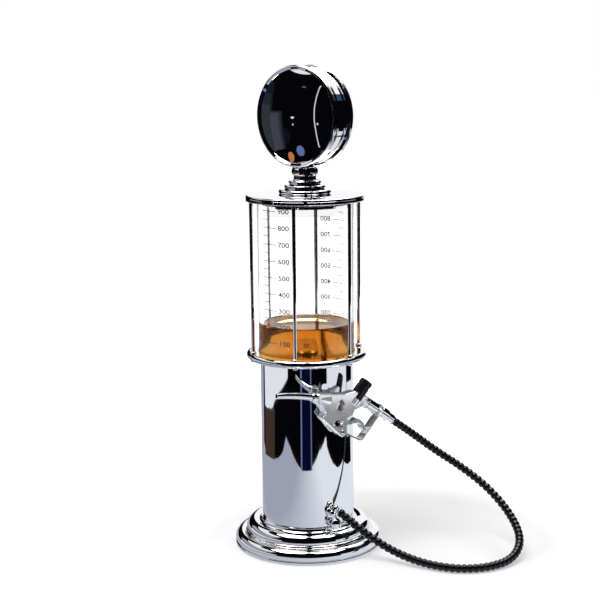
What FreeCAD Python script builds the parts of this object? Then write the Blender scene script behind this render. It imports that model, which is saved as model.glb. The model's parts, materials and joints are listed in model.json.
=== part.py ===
"""Liquor dispenser in the shape of an old fuel pump.

Millimetres, +Z up.  The origin is the centre of the resting face; the front of the dispenser faces -Y.
A clear canister stands on a chrome column and drains by gravity through a tube to an outlet at the
column's foot.  A hose joins the outlet to a trigger nozzle that hangs on a hook on the column.
"""
import FreeCAD
import Part
import math
import os
from FreeCAD import Placement, Rotation, Vector

# ---------------------------------------------------------------- driving dimensions
# base
BASE_LEDGE = 11.5             # how far the wide moulding stands out past the narrow one
UPPER_LEDGE = 16.7            # how far the narrow moulding stands out past the column
FOOT_H = 3.0                  # top of the plain foot band
LOWER_ROLL_R = 6.8            # section radius of the wide moulding
LOWER_ROLL_Z = 7.5            # height of its middle
UPPER_ROLL_R = 8.5            # section radius of the narrow moulding
UPPER_ROLL_Z = 18.1
FLARE_TOP_Z = 29.6            # the base sweeps up to the column and ends in a thin edge
FLARE_EDGE = 0.6
PAD_INSET = 6.0               # the pad is this much smaller than the base all round
PAD_T = 3.0
PAD_PROUD = 1.0               # how far the pad stands below the shell
BASE_PLATE_T = 2.0
BASE_WALL = 2.4               # wall of the base shell under the column's seat
BASE_SCREW_PCD = 84.0
BASE_SCREW_R = 2.0
BASE_SCREWS = 3

# column
COLUMN_R = 47.3
COLUMN_WALL = 1.2
COLUMN_SEAT_Z = 24.0          # the column stands on a ledge inside the base
COLUMN_TOP_Z = 196.5
FOOT_RING_T = 6.0
FOOT_RING_WIDTH = 9.0

# canister and its ring
RING_LIP = 4.4                # how far the ring stands out past the middles of the rods
RING_H = 7.5
RING_FLOOR_T = 1.8
CANISTER_R = 48.5
CANISTER_WALL = 4.5
CANISTER_FLOOR_T = 2.4
CANISTER_TOP_Z = 359.4
GASKET_T = 0.8
DRINK_DEPTH = 30.8            # level of the drink over the canister's floor
DRAIN_R = 6.0                 # drain spigot
DRAIN_BORE_R = 3.6

# cage of rods
ROD_R = 1.9
ROD_CLEAR = 8.3               # from the canister's wall to the middles of the rods
ROD_COUNT = 6
ROD_FIRST_DEG = -11.7         # azimuth from the front, positive to the right
ROD_NUT_R = 2.8
ROD_NUT_H = 1.4
CAGE_RING_LIP = 2.9           # how far the cage ring stands out past the middles of the rods
CAGE_RING_FIT = 0.7           # from the canister's wall to the cage ring's bore
CAGE_RING_DROP = 2.8          # how far under the canister's rim the cage ring starts
CAGE_RING_H = 3.6
ROD_BLIND = 2.4               # depth of the blind holes under the cage ring

# lid and pedestal
LID_RIM_H = 2.2
LID_CROWN = 1.2               # rise of the lid's dome
LID_PLATE_T = 2.2
LID_SKIRT_DEPTH = 9.0
SEAL_H = 3.0
PEDESTAL_SPIGOT_R = 6.0
PEDESTAL_FOOT_R = 26.6
PEDESTAL_STEP_R = 20.8
PEDESTAL_RING_R = 16.5
PEDESTAL_WAIST_R = 11.3
PEDESTAL_COLLAR_R = 13.4
PEDESTAL_STEPS = (0.0, 4.0, 5.3, 8.5, 9.5, 13.0, 14.2, 17.4, 19.0, 25.1, 25.9)    # heights over the lid

# head
HEAD_R = 50.0                 # rim of the bezels
HEAD_CLEAR = 0.4              # gap between the pedestal and the bezels' rims
HEAD_DEPTH = 31.0             # over both bezels
DRUM_STEP = 2.6               # how far the drum stands back from the bezels' rims
DRUM_WALL = 1.6
DRUM_BEAD_AT = 5.3            # two rolled beads round the drum, off its middle
DRUM_BEAD_W = 3.0
DRUM_BEAD_H = 0.9
BEZEL_W = 4.4
BEZEL_FACE = 4.4              # width of a bezel's front face
MIRROR_BULGE = 5.0
MIRROR_T = 1.6
HEAD_YAW = -39.8              # the front face looks this far round from the front, negative to the left
STEM_R = 4.0
STEM_DEPTH = 22.0             # how deep the swivel stem reaches into the pedestal
SADDLE_R = 9.0

# outlet at the foot of the column
OUTLET_AZ = 27.0
OUTLET_Z = 45.3
OUTLET_REACH = 6.0            # centre of the elbow, out from the column
OUTLET_BODY_R = 4.3
OUTLET_KNEE = (3.1, 0.2, 5.1)  # from the elbow's middle to the knee that carries the hose
OUTLET_KNEE_R = 3.3
OUTLET_BOWL = (2.8, 0.0, -10.8)  # from the elbow's middle to the middle of the bowl under it
OUTLET_BOWL_R = 6.2
OUTLET_BOWL_H = 10.0
OUTLET_STUB_R = 3.4
OUTLET_BORE_R = 1.7
OUTLET_INSIDE = 11.0          # reach of the outlet's stem inside the column's wall
OUTLET_DIR = (0.74, -0.25, -0.625)
FEED_R = 4.0
FEED_BORE_R = 2.4
CLIP_T = 0.8                  # clips on the soft tube
CLIP_W = 4.0
CLIP_EAR_W = 3.2
CLIP_EAR_H = 2.6

# hose
HOSE_R = 4.35
HOSE_BARB_R = 2.6
FERRULE_R = 4.9
FERRULE_WALL = 1.1
OUTLET_FERRULE_L = 1.4
HOSE_LEAD_OUT = 20.0          # straight lead of the route at the outlet
HOSE_LEAD_GUN = 27.0          # and at the nozzle
HOSE_ROUTE = [                # between the leads, over the floor and up to the nozzle
    (78.0, -61.0, 12.6), (109.1, -82.0, 5.4), (141.7, -98.0, 4.5), (175.0, -95.1, 4.5),
    (202.7, -75.0, 5.4), (215.7, -45.0, 15.0), (209.1, -13.0, 30.6), (188.9, 8.0, 52.1),
    (161.3, 13.0, 73.7), (131.7, 6.0, 94.9)]

# nozzle, drawn in its own upright plane: x along it, y towards the column, z up
GUN_AZ = 30.0                 # azimuth of the plane's normal
GUN_STANDOFF = 58.0           # distance of the plane from the column's axis
HANDLE_START = (30.4, 159.0)
HANDLE_DEG = -35.5
HANDLE_TUBE_R = 3.6
HANDLE_TUBE_L = 32.0
SLEEVE_AT = 1.6               # where the sleeve starts along the handle
SLEEVE_R = 5.9
SLEEVE_L = 18.0
GUARD_RING_AT = 21.3
GUARD_RING_L = 3.0
FERRULE_L = 18.8
FERRULE_BIG_R = 6.9
FERRULE_SMALL_R = 5.2
FERRULE_STEP = 10.2           # length of the wide part of the ferrule
CAP_SEAT = (21.2, 161.8)
CAP_DEG = 48.0
CAP_R = 6.7
CAP_L = 21.5
CAP_WALL = 1.4
CAP_GROOVE_AT = 14.6
BOSS_R = 7.4
BOSS_L = 6.5
CHAMBER_R = 4.8
CHAMBER_DEPTH = 6.5
STEM_ROD_R = 1.4
STEM_LENGTH = 20.7            # from the cap's seat down to the stem's tip
BODY_T = 11.0                 # thickness of the cast body
STUD = (2.0, 141.6)           # cast stud on the front cheek
STUD_R = 2.6
STUD_BALL_R = 4.2
STUD_PROUD = 0.8
SLOT_T = 5.4                  # slot for the trigger between the cheeks
PIVOT = (-3.6, 141.3)
PIVOT_R = 1.5
TRIGGER_T = 4.6
TRIGGER_PAD_T = 9.0
TRIGGER_PAD_X = 17.4          # the finger pad starts here, clear of the cheeks
SPOUT_R = 3.5
SPOUT_TIP_R = 2.9
SPOUT_WALL = 0.7
SPOUT_COLLAR_R = 4.7
SPOUT_COLLAR_L = 4.6
SPOUT_TIP = (-68.0, 176.2)
NOSE_END = (-24.4, 168.9)     # where the nose of the casting meets the spout's collar
NOSE_DEG = 165.0
GUARD_W = 10.0
GUARD_T = 1.6
GUARD_SCREW = (3.6, 130.8)
GUARD_SCREW_R = 1.3

# hook on the column
HOOK_X = -9.6                 # centre of the hook's tongue along the nozzle's plane
HOOK_W = 7.0
HOOK_T = 1.8
HOOK_Y = 7.0                  # inner face of the tongue from the nozzle's plane
HOOK_RISE = 19.7              # height of the tongue over the shelf
HOOK_SHELF_Z = 159.8          # height of the shelf over the floor
EYE_Z = 159.8                 # height of the shelf in the nozzle's own frame
HOOK_CLEAR = 0.3
SADDLE_T = 1.8
SADDLE_H = 17.2
SADDLE_HALF_DEG = 6.2         # half the arc that the saddle covers
HOLDER_SCREW_R = 1.2
HOLDER_SCREW_DROP = (13.6, 7.6)    # from the shelf down to the screws

# clearances
FIT = 0.05                    # running fit, radial
SEAT = 0.3                    # gap between bodies that part
GAP = 0.1                     # assembly gap inside one body

# ---------------------------------------------------------------- derived values
SHELL_BOTTOM_Z = PAD_PROUD
UPPER_ROLL_OUT = COLUMN_R + UPPER_LEDGE
BASE_R = UPPER_ROLL_OUT + BASE_LEDGE
PAD_R = BASE_R - PAD_INSET
COLUMN_BORE_R = COLUMN_R - COLUMN_WALL
ROD_CIRCLE_R = CANISTER_R + ROD_CLEAR
RING_R = ROD_CIRCLE_R + RING_LIP
CAGE_RING_R = ROD_CIRCLE_R + CAGE_RING_LIP
CAGE_RING_BORE_R = CANISTER_R + CAGE_RING_FIT
CAGE_RING_Z = CANISTER_TOP_Z - CAGE_RING_DROP
RING_LOW_Z = COLUMN_TOP_Z
RING_FLOOR_Z = RING_LOW_Z + RING_FLOOR_T
RING_TOP_Z = RING_LOW_Z + RING_H
CANISTER_LOW_Z = RING_FLOOR_Z + GASKET_T
CANISTER_FLOOR_Z = CANISTER_LOW_Z + CANISTER_FLOOR_T
CANISTER_BORE_R = CANISTER_R - CANISTER_WALL
DRINK_Z = CANISTER_FLOOR_Z + DRINK_DEPTH
CAGE_RING_TOP_Z = CAGE_RING_Z + CAGE_RING_H
ROD_TOP_Z = CAGE_RING_Z + ROD_BLIND
LID_LOW_Z = CAGE_RING_TOP_Z + GAP
LID_RIM_TOP_Z = LID_LOW_Z + LID_RIM_H
LID_TOP_Z = LID_RIM_TOP_Z + LID_CROWN
LID_INNER_Z = LID_TOP_Z - LID_PLATE_T
PEDESTAL_TOP_Z = LID_TOP_Z + PEDESTAL_STEPS[-1]
HEAD_Z = PEDESTAL_TOP_Z + HEAD_CLEAR + HEAD_R
DRUM_R = HEAD_R - DRUM_STEP
BEZEL_BORE_R = HEAD_R - BEZEL_FACE
STEM_FLANGE_Z = PEDESTAL_TOP_Z + SEAT

GUN_PLACE = Placement(
    Vector(GUN_STANDOFF * math.sin(math.radians(GUN_AZ)), -GUN_STANDOFF * math.cos(math.radians(GUN_AZ)),
           HOOK_SHELF_Z - EYE_Z),
    Rotation(Vector(0, 0, 1), GUN_AZ))
UP = Vector(0, 0, 1)


# ---------------------------------------------------------------- helpers
def save(name, shape):
    """Write one sub-part; its solids stay separate."""
    solids = shape.Solids
    shape = solids[0] if len(solids) == 1 else Part.makeCompound(solids)
    shape.exportStep("parts/" + name + ".step")


def outline(start, *steps):
    """Closed face in the XZ plane: (x, z) adds a line, (x mid, z mid, x, z) adds an arc."""
    def point(x, z):
        return Vector(x, 0, z)
    at = point(*start)
    edges = []
    for step in steps + (start,):
        end = point(*step[-2:])
        if end.distanceToPoint(at) < 1e-6:
            continue
        if len(step) == 2:
            edges.append(Part.LineSegment(at, end).toShape())
        else:
            edges.append(Part.Arc(at, point(*step[:2]), end).toShape())
        at = end
    return Part.Face(Part.Wire(edges))


def rounded(corners):
    """Closed face in the XZ plane from corners (x, z, radius), each rounded by a tangent arc."""
    points = [Vector(x, 0, z) for x, z, _ in corners]
    radii = [r for _, _, r in corners]
    count = len(points)
    stops = []
    for i, at in enumerate(points):
        to_last = (points[i - 1] - at).normalize()
        to_next = (points[(i + 1) % count] - at).normalize()
        half = to_last.getAngle(to_next) / 2
        if radii[i] == 0 or abs(half - math.pi / 2) < 1e-4:
            stops.append((at, None, at))
            continue
        reach = radii[i] / math.tan(half)
        middle = (to_last + to_next).normalize()
        crown = at + middle * (radii[i] / math.sin(half) - radii[i])
        stops.append((at + to_last * reach, crown, at + to_next * reach))
    edges = []
    for i, (start, crown, end) in enumerate(stops):
        if crown is not None:
            edges.append(Part.Arc(start, crown, end).toShape())
        following = stops[(i + 1) % count][0]
        if following.distanceToPoint(end) > 1e-6:
            edges.append(Part.LineSegment(end, following).toShape())
    return Part.Face(Part.Wire(edges))


def turned(face):
    """Solid of revolution about +Z of a face drawn as (radius, height)."""
    return face.revolve(Vector(0, 0, 0), UP, 360)


def plate(face, thickness, middle=0.0):
    """Extrude a face of the XZ plane along Y, centred on y = middle."""
    solid = face.extrude(Vector(0, thickness, 0))
    solid.translate(Vector(0, middle - thickness / 2, 0))
    return solid


def rod(start, direction, radius, length):
    return Part.makeCylinder(radius, length, start, direction)


def tube(start, direction, outer, inner, length):
    return rod(start, direction, outer, length).cut(rod(start, direction, inner, length))


def radial(azimuth):
    """Unit vector away from the axis; azimuth is measured from the front, positive to the right."""
    angle = math.radians(azimuth)
    return Vector(math.sin(angle), -math.cos(angle), 0)


def around(shape, count, first=0.0):
    """Copies of a shape about the Z axis."""
    copies = []
    for i in range(count):
        one = shape.copy()
        one.rotate(Vector(0, 0, 0), UP, first + i * 360.0 / count)
        copies.append(one)
    return Part.makeCompound(copies)


def in_plane(along_deg):
    """Unit vector of the nozzle's own XZ plane."""
    angle = math.radians(along_deg)
    return Vector(math.cos(angle), 0, math.sin(angle))


def hung(shape):
    """Move a shape from the nozzle's own frame to its place on the column."""
    moved = shape.copy()
    moved.Placement = GUN_PLACE.multiply(moved.Placement)
    return moved


def hexagon(across_flats, height, bore, base):
    """Hexagonal nut standing on the point base, axis +Z."""
    corner = across_flats / math.sqrt(3)
    points = [Vector(corner * math.cos(math.radians(60 * i)), corner * math.sin(math.radians(60 * i)), 0)
              for i in range(7)]
    nut = Part.Face(Part.makePolygon(points)).extrude(Vector(0, 0, height))
    nut = nut.cut(Part.makeCylinder(bore, height))
    nut.translate(base)
    return nut


# ---------------------------------------------------------------- base
def on_roll(middle_r, middle_z, section_r, degrees):
    """Point (radius, height) of a moulding's round section; 0 degrees faces outwards, 90 up."""
    angle = math.radians(degrees)
    return middle_r + section_r * math.cos(angle), middle_z + section_r * math.sin(angle)


def base_shell():
    foot_r = BASE_R - 0.1
    low = (BASE_R - LOWER_ROLL_R, LOWER_ROLL_Z, LOWER_ROLL_R)
    high = (UPPER_ROLL_OUT - UPPER_ROLL_R, UPPER_ROLL_Z, UPPER_ROLL_R)
    low_start = on_roll(*low, -30)
    low_end = on_roll(*low, 112)
    high_start = on_roll(*high, -24)
    high_end = on_roll(*high, 96)
    edge_r = COLUMN_R + GAP
    outer = [
        (foot_r - 0.4, SHELL_BOTTOM_Z), (foot_r, SHELL_BOTTOM_Z + 0.4), (foot_r, FOOT_H),
        (foot_r - 0.9, FOOT_H + 0.5), low_start, on_roll(*low, 40) + low_end,
        (UPPER_ROLL_OUT + 0.1, high_start[1] - 0.9) + high_start, on_roll(*high, 36) + high_end,
        (edge_r + 3.4, FLARE_TOP_Z - 4.4), (edge_r + 1.5, FLARE_TOP_Z - 3.2, edge_r + FLARE_EDGE, FLARE_TOP_Z),
        (edge_r, FLARE_TOP_Z)]
    plate_r = PAD_R + 2.0
    plate_top = PAD_T + BASE_PLATE_T
    inner = [
        (edge_r, COLUMN_SEAT_Z), (COLUMN_BORE_R - 2.0, COLUMN_SEAT_Z),
        (COLUMN_BORE_R - 2.0, COLUMN_SEAT_Z - BASE_WALL), (UPPER_ROLL_OUT - 4.0, COLUMN_SEAT_Z - BASE_WALL),
        (UPPER_ROLL_OUT - 3.4, 12.0), (plate_r - 2.5, plate_top + 5.0),
        (plate_r - 1.5, plate_top), (plate_r + GAP, plate_top), (plate_r + GAP, SHELL_BOTTOM_Z)]
    return turned(outline(outer[0], *outer[1:], *inner))


def base_screw_spot():
    return Vector(0, -BASE_SCREW_PCD / 2, 0)


def base_parts():
    save("base_shell", base_shell())
    pad = turned(outline((0, 0), (PAD_R - 0.5, 0), (PAD_R, 0.5), (PAD_R, PAD_T), (0, PAD_T)))
    save("base_pad", pad)
    hole = rod(base_screw_spot(), UP, BASE_SCREW_R + GAP, COLUMN_SEAT_Z + FOOT_RING_T + 1)
    sink = Part.makeCone(2 * BASE_SCREW_R + GAP, BASE_SCREW_R + GAP, BASE_SCREW_R, base_screw_spot()
                         + Vector(0, 0, PAD_T), UP)
    disc = Part.makeCylinder(PAD_R + 2.0, BASE_PLATE_T, Vector(0, 0, PAD_T))
    save("base_plate", disc.cut(around(hole.fuse(sink), BASE_SCREWS)))
    length = COLUMN_SEAT_Z + FOOT_RING_T - 1.0 - PAD_T
    screw = Part.makeCone(2 * BASE_SCREW_R, BASE_SCREW_R, BASE_SCREW_R, base_screw_spot()
                          + Vector(0, 0, PAD_T), UP)
    screw = screw.fuse(rod(base_screw_spot() + Vector(0, 0, PAD_T), UP, BASE_SCREW_R, length))
    save("base_screws", around(screw, BASE_SCREWS))
    ring = tube(Vector(0, 0, COLUMN_SEAT_Z), UP, COLUMN_BORE_R - GAP, COLUMN_BORE_R - FOOT_RING_WIDTH,
                FOOT_RING_T)
    save("column_foot_ring", ring.cut(around(hole, BASE_SCREWS)))


# ---------------------------------------------------------------- column
def column_tube():
    body = tube(Vector(0, 0, COLUMN_SEAT_Z), UP, COLUMN_R, COLUMN_BORE_R, COLUMN_TOP_Z - COLUMN_SEAT_Z)
    outlet = rod(Vector(0, 0, OUTLET_Z), radial(OUTLET_AZ), OUTLET_STUB_R + GAP, COLUMN_R + 5)
    body = body.cut(outlet)
    for drop in HOLDER_SCREW_DROP:
        at = Vector(0, 0, HOOK_SHELF_Z - drop)
        body = body.cut(rod(at, radial(holder_azimuth()), HOLDER_SCREW_R + GAP, COLUMN_R + 5))
    save("column_tube", body)


def support_ring():
    edge = RING_H / 2
    bore = CANISTER_R + 0.4
    spigot = COLUMN_BORE_R - GAP
    section = outline(
        (DRAIN_R + GAP, RING_LOW_Z), (spigot - 2.2, RING_LOW_Z), (spigot - 2.2, RING_LOW_Z - 7),
        (spigot, RING_LOW_Z - 7), (spigot, RING_LOW_Z), (RING_R - edge, RING_LOW_Z),
        (RING_R, RING_LOW_Z + edge, RING_R - edge, RING_TOP_Z), (bore + 0.8, RING_TOP_Z),
        (bore + 0.23, RING_TOP_Z - 0.23, bore, RING_TOP_Z - 0.8), (bore, RING_FLOOR_Z),
        (DRAIN_R + GAP, RING_FLOOR_Z))
    hole = rod(Vector(0, -ROD_CIRCLE_R, RING_LOW_Z), UP, ROD_R + GAP, RING_H)
    save("support_ring", turned(section).cut(around(hole, ROD_COUNT, ROD_FIRST_DEG)))


def cage():
    spot = Vector(0, -ROD_CIRCLE_R, 0)
    cap_t = 0.6
    low = RING_LOW_Z - ROD_NUT_H + cap_t
    rod_one = rod(spot + Vector(0, 0, low), UP, ROD_R, ROD_TOP_Z - low)
    save("cage_rods", around(rod_one, ROD_COUNT, ROD_FIRST_DEG))
    collar_r = ROD_R + 1.3
    collar = turned(outline((ROD_R + GAP, 0), (collar_r, 0), (collar_r, 0.7),
                            (collar_r - 0.3, 1.7, ROD_R + GAP, 2.1)))
    collar.translate(spot + Vector(0, 0, RING_TOP_Z))
    save("rod_collars", around(collar, ROD_COUNT, ROD_FIRST_DEG))
    dome = turned(outline(
        (0, 0), (ROD_NUT_R - 0.8, 0.1, ROD_NUT_R, ROD_NUT_H - 0.3), (ROD_NUT_R, ROD_NUT_H), (ROD_R, ROD_NUT_H),
        (ROD_R, cap_t), (0, cap_t)))
    dome.translate(spot + Vector(0, 0, RING_LOW_Z - ROD_NUT_H))
    save("rod_nuts", around(dome, ROD_COUNT, ROD_FIRST_DEG))
    ring = turned(outline(
        (CAGE_RING_BORE_R, CAGE_RING_Z), (CAGE_RING_R - 0.8, CAGE_RING_Z),
        (CAGE_RING_R - 0.2, CAGE_RING_Z + 0.2, CAGE_RING_R, CAGE_RING_Z + 0.8),
        (CAGE_RING_R, CAGE_RING_TOP_Z - 0.4), (CAGE_RING_R - 0.4, CAGE_RING_TOP_Z),
        (CAGE_RING_BORE_R, CAGE_RING_TOP_Z)))
    blind = rod(spot + Vector(0, 0, CAGE_RING_Z), UP, ROD_R + GAP, ROD_BLIND)
    save("cage_ring", ring.cut(around(blind, ROD_COUNT, ROD_FIRST_DEG)))


# ---------------------------------------------------------------- canister and drain
def canister():
    floor_bore = DRAIN_R + GAP
    section = outline(
        (floor_bore, CANISTER_LOW_Z), (CANISTER_R - 1.2, CANISTER_LOW_Z),
        (CANISTER_R - 0.35, CANISTER_LOW_Z + 0.35, CANISTER_R, CANISTER_LOW_Z + 1.2),
        (CANISTER_R, CANISTER_TOP_Z), (CANISTER_BORE_R, CANISTER_TOP_Z),
        (CANISTER_BORE_R, CANISTER_FLOOR_Z + 2.0),
        (CANISTER_BORE_R - 0.6, CANISTER_FLOOR_Z + 0.6, CANISTER_BORE_R - 2.0, CANISTER_FLOOR_Z),
        (floor_bore, CANISTER_FLOOR_Z))
    save("canister", turned(section))
    save("canister_gasket", tube(Vector(0, 0, RING_FLOOR_Z), UP, CANISTER_R - 1.0, CANISTER_R - 9.0, GASKET_T))


def drain():
    flange_r = DRAIN_R + 4.0
    flange_t = 1.6
    washer_t = 1.0
    shank_low = RING_LOW_Z - 9.0
    barb_low = shank_low - 11.0
    washer_z = CANISTER_FLOOR_Z
    save("drain_washer", tube(Vector(0, 0, washer_z), UP, flange_r, DRAIN_R + GAP, washer_t))
    seat = washer_z + washer_t
    section = outline(
        (OUTLET_BORE_R, barb_low), (FEED_BORE_R, barb_low), (FEED_BORE_R, shank_low), (DRAIN_R, shank_low),
        (DRAIN_R, seat), (flange_r, seat), (flange_r, seat + 0.9),
        (flange_r - 0.2, seat + flange_t - 0.2, flange_r - 0.7, seat + flange_t),
        (DRAIN_BORE_R, seat + flange_t), (DRAIN_BORE_R, shank_low + 4.0), (OUTLET_BORE_R, shank_low + 2.0))
    fitting = turned(section)
    screen = Part.makeCylinder(DRAIN_BORE_R, 0.8, Vector(0, 0, seat + flange_t - 0.8))
    slots = [Part.makeBox(5.6, 0.9, 2, Vector(-2.8, y - 0.45, seat + flange_t - 1.4)) for y in (-1.8, 0, 1.8)]
    save("drain_fitting", fitting.fuse(screen.cut(Part.makeCompound(slots))))
    save("drain_nut", hexagon(2 * DRAIN_R + 7.0, 4.0, DRAIN_R, Vector(0, 0, RING_LOW_Z - 4.0)))
    drink_r = CANISTER_BORE_R
    level = outline(
        (flange_r, CANISTER_FLOOR_Z), (drink_r - 2.0, CANISTER_FLOOR_Z),
        (drink_r - 0.6, CANISTER_FLOOR_Z + 0.6, drink_r, CANISTER_FLOOR_Z + 2.0), (drink_r, DRINK_Z),
        (0, DRINK_Z), (0, seat + flange_t), (flange_r, seat + flange_t))
    save("drink", turned(level))
    return shank_low


def pipe(points, radius, bore=0.0):
    """Tube along straight runs joined by tangent arcs, each as large as its two runs allow."""
    route = [Vector(*p) for p in points]
    edges = []
    at = route[0]
    radii = []
    for last, corner, following in zip(route, route[1:], route[2:]):
        back = (last - corner).normalize()
        ahead = (following - corner).normalize()
        half = back.getAngle(ahead) / 2
        reach = 0.45 * min(last.distanceToPoint(corner), following.distanceToPoint(corner))
        bend = reach * math.tan(half)
        radii.append(bend)
        middle = (back + ahead).normalize()
        crown = corner + middle * (bend / math.sin(half) - bend)
        edges.append(Part.LineSegment(at, corner + back * reach).toShape())
        edges.append(Part.Arc(corner + back * reach, crown, corner + ahead * reach).toShape())
        at = corner + ahead * reach
    edges.append(Part.LineSegment(at, route[-1]).toShape())
    path = Part.Wire(edges)
    normal = (route[1] - route[0]).normalize()
    solid = path.makePipeShell([Part.Wire(Part.makeCircle(radius, route[0], normal))], True, False)
    if bore:
        solid = solid.cut(path.makePipeShell([Part.Wire(Part.makeCircle(bore, route[0], normal))], True, False))
    return solid, path.Length, radii


def feed_line(shank_low):
    """Soft tube inside the column, pushed over the drain's barb and over the outlet's."""
    out = radial(OUTLET_AZ)
    tail = out * (COLUMN_BORE_R - OUTLET_INSIDE) + Vector(0, 0, OUTLET_Z)
    bend = out * -14.0 + Vector(0, 0, OUTLET_Z)
    points = [(0, 0, shank_low), (0, 0, shank_low - 40.0), tuple(bend + UP * 42.0), tuple(bend), tuple(tail)]
    solid, _, radii = pipe(points, FEED_R, FEED_BORE_R)
    print("feed tube valid", solid.isValid(), " ".join("%.1f" % r for r in radii))
    save("feed_tube", solid)
    clips = [clip(Vector(0, 0, shank_low - 7.0), UP), clip(tail - out * 5.0, out)]
    save("tube_clips", Part.makeCompound(clips))


def clip(at, along):
    """Band with a pinched ear, round the soft tube."""
    band = tube(Vector(0, 0, 0), UP, FEED_R + CLIP_T, FEED_R, CLIP_W)
    ear = Part.makeBox(CLIP_EAR_W, CLIP_EAR_H, CLIP_W, Vector(-CLIP_EAR_W / 2, FEED_R + CLIP_T / 2, 0))
    whole = band.fuse(ear)
    whole.Placement = Placement(at, Rotation(UP, along))
    return whole


# ---------------------------------------------------------------- lid, pedestal, head
def lid():
    rim = CAGE_RING_R
    skirt = CANISTER_BORE_R - 0.7
    skirt_low = LID_LOW_Z - LID_SKIRT_DEPTH
    groove_z = skirt_low + 2.0
    groove_r = skirt - 1.4
    section = outline(
        (PEDESTAL_SPIGOT_R + GAP, LID_INNER_Z), (groove_r - 2.0, LID_INNER_Z - 1.2),
        (groove_r - 2.0, skirt_low), (skirt, skirt_low), (skirt, groove_z), (groove_r, groove_z),
        (groove_r, groove_z + SEAL_H), (skirt, groove_z + SEAL_H), (skirt, LID_LOW_Z), (rim - 0.5, LID_LOW_Z),
        (rim, LID_LOW_Z + 0.5), (rim - 0.1, LID_LOW_Z + 1.3, rim - 1.5, LID_RIM_TOP_Z),
        ((rim + PEDESTAL_FOOT_R) / 2, LID_RIM_TOP_Z + 0.72 * LID_CROWN, PEDESTAL_FOOT_R, LID_TOP_Z),
        (PEDESTAL_SPIGOT_R + GAP, LID_TOP_Z))
    save("lid_cap", turned(section))
    save("lid_seal", tube(Vector(0, 0, groove_z + GAP), UP, CANISTER_BORE_R - SEAT, groove_r + GAP,
                          SEAL_H - 2 * GAP))


def pedestal():
    z = [LID_TOP_Z + step for step in PEDESTAL_STEPS]
    spigot_low = LID_INNER_Z - 7.0
    well = PEDESTAL_TOP_Z - STEM_DEPTH - 1.0
    section = outline(
        (0, spigot_low), (PEDESTAL_SPIGOT_R, spigot_low), (PEDESTAL_SPIGOT_R, z[0]), (PEDESTAL_FOOT_R - 1.4, z[0]),
        (PEDESTAL_FOOT_R, (z[0] + z[1]) / 2, PEDESTAL_FOOT_R - 1.6, z[1]),
        (PEDESTAL_STEP_R + 0.6, z[1] + 0.1, PEDESTAL_STEP_R - 1.2, z[2]),
        (PEDESTAL_STEP_R, (z[2] + z[3]) / 2, PEDESTAL_STEP_R - 1.4, z[3]),
        (PEDESTAL_RING_R + 0.2, z[3] + 0.1, PEDESTAL_RING_R - 1.4, z[4]),
        (PEDESTAL_RING_R, (z[4] + z[5]) / 2, PEDESTAL_RING_R - 1.6, z[5]),
        (PEDESTAL_WAIST_R + 0.6, z[5] + 0.3, PEDESTAL_WAIST_R, z[6] + 0.4),
        (PEDESTAL_WAIST_R, z[7]),
        (PEDESTAL_WAIST_R + 0.5, z[7] + 1.1, PEDESTAL_COLLAR_R - 0.6, z[8]),
        (PEDESTAL_COLLAR_R, (z[8] + z[9]) / 2, PEDESTAL_COLLAR_R - 0.8, z[9]),
        (PEDESTAL_COLLAR_R - 1.6, z[10]), (STEM_R + FIT, z[10]), (STEM_R + FIT, well), (0, well))
    save("pedestal", turned(section))
    nut_h = 4.5
    save("pedestal_nut", hexagon(3 * PEDESTAL_SPIGOT_R, nut_h, PEDESTAL_SPIGOT_R, Vector(0, 0, LID_INNER_Z - 0.5 - nut_h)))


def facing(shape):
    """Turn a shape made along +Z so that +Z becomes the head's front direction."""
    turned_shape = shape.copy()
    turned_shape.rotate(Vector(0, 0, 0), Vector(1, 0, 0), 90)
    turned_shape.rotate(Vector(0, 0, 0), UP, HEAD_YAW)
    turned_shape.translate(Vector(0, 0, HEAD_Z))
    return turned_shape


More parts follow.
